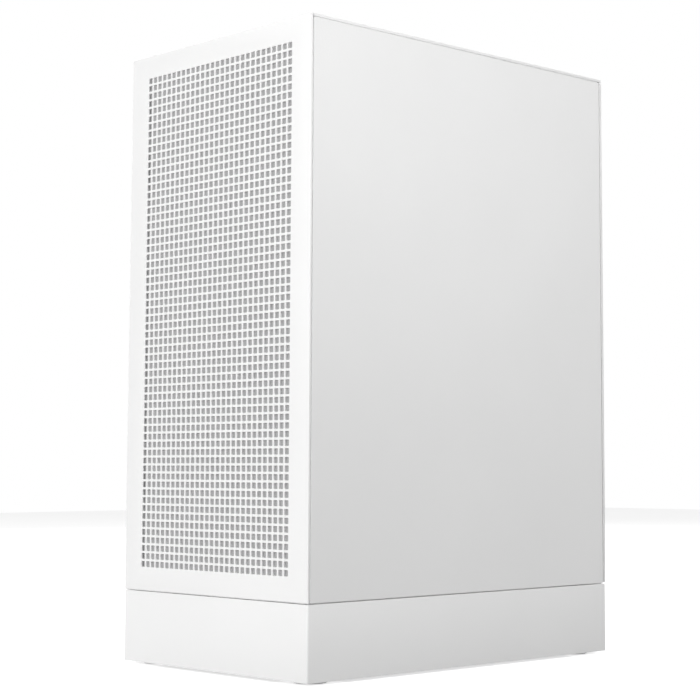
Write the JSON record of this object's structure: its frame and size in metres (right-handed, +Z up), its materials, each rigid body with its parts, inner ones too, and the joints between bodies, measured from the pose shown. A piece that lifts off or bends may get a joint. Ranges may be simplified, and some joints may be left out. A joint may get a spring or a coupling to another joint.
{
  "type": "desktop computer tower",
  "caption": "Compact white steel desktop tower with a perforated front over a plinth, glass left side, pull-off panels, slide-out filter, fans, board, graphics card and power supply inside.",
  "frame": {"origin": "centre of the footprint, on the ground under the rubber feet", "axes": "+Z up; front face towards -Y; solid side panel on +X, glass side panel on -X"},
  "size_m": [0.215, 0.322, 0.4678],
  "materials": {
    "case_white": "fine-textured powder coat",
    "filter_mesh": "woven nylon in a frame",
    "rubber": "matte",
    "grommet_rubber": "matte",
    "steel": "zinc plated",
    "brass": "satin",
    "clip_plastic": "moulded nylon",
    "dark_plastic": "fine moulded texture",
    "button_plastic": "satin",
    "board": "solder mask",
    "dark_board": "solder mask",
    "green_board": "solder mask",
    "fin_aluminium": "satin",
    "copper": "nickel plated copper",
    "drive_aluminium": "cast, satin",
    "fan_white": "satin",
    "fan_grey": "satin",
    "card_plastic": "satin",
    "psu_black": "fine-textured powder coat",
    "glass": "tempered, clear",
    "cable_white": "braided sleeve"
  },
  "bodies": {
    "chassis": {"base_plinth": "case_white", "rubber_feet": "rubber", "floor_pan": "case_white", "rear_panel": "case_white", "front_fan_plate": "case_white", "top_frame": "case_white", "motherboard_tray": "case_white", "frame_posts": "case_white", "psu_shroud": "case_white", "slot_brackets": "steel", "thumb_screws": "steel", "clip_sockets": "clip_plastic", "cable_grommets": "grommet_rubber", "drive_cage": "case_white", "hard_drive": "drive_aluminium", "io_housing": "dark_plastic", "io_sockets": "steel", "motherboard": "board", "standoffs": "brass", "case_screws": "steel", "processor": "steel", "board_heatsinks": "fin_aluminium", "board_sockets": "dark_plastic", "memory_modules": "card_plastic", "rear_io_ports": "steel", "io_shield": "steel", "cooler_cold_plate": "copper", "cooler_heat_pipes": "copper", "cooler_fins": "fin_aluminium", "fan_frames": "fan_white", "card_circuit_board": "dark_board", "card_heatsink": "fin_aluminium", "card_shroud": "card_plastic", "card_backplate": "card_plastic", "psu_case": "psu_black", "psu_circuit": "green_board", "psu_fan_grille": "steel", "psu_inlet": "dark_plastic", "power_cables": "cable_white"},
    "front_panel": {"front_panel": "case_white", "front_panel_studs": "steel", "front_filter": "filter_mesh"},
    "right_panel": {"right_panel": "case_white", "right_panel_studs": "steel"},
    "left_panel": {"left_glass": "glass", "left_glass_rails": "case_white"},
    "top_panel": {"top_panel": "case_white", "top_panel_studs": "steel", "top_filter": "filter_mesh"},
    "bottom_filter": {"bottom_filter": "filter_mesh"},
    "power_button": {"power_button": "button_plastic"},
    "psu_switch": {"psu_switch": "dark_plastic"},
    "front_fan_rotor_1": {"front_fan_rotor_1": "fan_white"},
    "front_fan_rotor_2": {"front_fan_rotor_2": "fan_white"},
    "front_fan_rotor_3": {"front_fan_rotor_3": "fan_white"},
    "rear_fan_rotor": {"rear_fan_rotor": "fan_white"},
    "cooler_fan_rotor": {"cooler_fan_rotor": "fan_white"},
    "card_fan_rotor_1": {"card_fan_rotor_1": "fan_grey"},
    "card_fan_rotor_2": {"card_fan_rotor_2": "fan_grey"},
    "psu_fan_rotor": {"psu_fan_rotor": "fan_grey"}
  },
  "joints": [
    {"name": "front_panel_pull", "type": "slide", "parent": "chassis", "child": "front_panel", "axis": [0, -1, 0], "range_m": [0, 0.1]},
    {"name": "right_panel_pull", "type": "slide", "parent": "chassis", "child": "right_panel", "axis": [1, 0, 0], "range_m": [0, 0.1]},
    {"name": "left_panel_pull", "type": "slide", "parent": "chassis", "child": "left_panel", "axis": [-1, 0, 0], "range_m": [0, 0.1]},
    {"name": "top_panel_lift", "type": "slide", "parent": "chassis", "child": "top_panel", "axis": [0, 0, 1], "range_m": [0, 0.1]},
    {"name": "bottom_filter_slide", "type": "slide", "parent": "chassis", "child": "bottom_filter", "axis": [0, 1, 0], "range_m": [0, 0.28]},
    {"name": "power_button_press", "type": "slide", "parent": "chassis", "child": "power_button", "axis": [0, 0, -1], "range_m": [0, 0.0015], "stiffness_N_per_m": 600},
    {"name": "psu_switch_rock", "type": "hinge", "parent": "chassis", "child": "psu_switch", "pos_m": [0.037, 0.149, 0.116], "axis": [1, 0, 0], "range_deg": [-16, 0]},
    {"name": "front_fan_1_spin", "type": "hinge", "parent": "chassis", "child": "front_fan_rotor_1", "pos_m": [0, -0.145, 0.143], "axis": [0, 1, 0], "continuous": true},
    {"name": "front_fan_2_spin", "type": "hinge", "parent": "chassis", "child": "front_fan_rotor_2", "pos_m": [0, -0.145, 0.263], "axis": [0, 1, 0], "continuous": true},
    {"name": "front_fan_3_spin", "type": "hinge", "parent": "chassis", "child": "front_fan_rotor_3", "pos_m": [0, -0.145, 0.383], "axis": [0, 1, 0], "continuous": true},
    {"name": "rear_fan_spin", "type": "hinge", "parent": "chassis", "child": "rear_fan_rotor", "pos_m": [-0.029, 0.13, 0.362], "axis": [0, 1, 0], "continuous": true},
    {"name": "cooler_fan_spin", "type": "hinge", "parent": "chassis", "child": "cooler_fan_rotor", "pos_m": [-0.026, 0.019, 0.352], "axis": [0, 1, 0], "continuous": true},
    {"name": "card_fan_1_spin", "type": "hinge", "parent": "chassis", "child": "card_fan_rotor_1", "pos_m": [-0.001, -0.024, 0.21425], "axis": [0, 0, 1], "continuous": true},
    {"name": "card_fan_2_spin", "type": "hinge", "parent": "chassis", "child": "card_fan_rotor_2", "pos_m": [-0.001, 0.082, 0.21425], "axis": [0, 0, 1], "continuous": true},
    {"name": "psu_fan_spin", "type": "hinge", "parent": "chassis", "child": "psu_fan_rotor", "pos_m": [-0.014, 0.075, 0.0612], "axis": [0, 0, 1], "continuous": true}
  ]
}
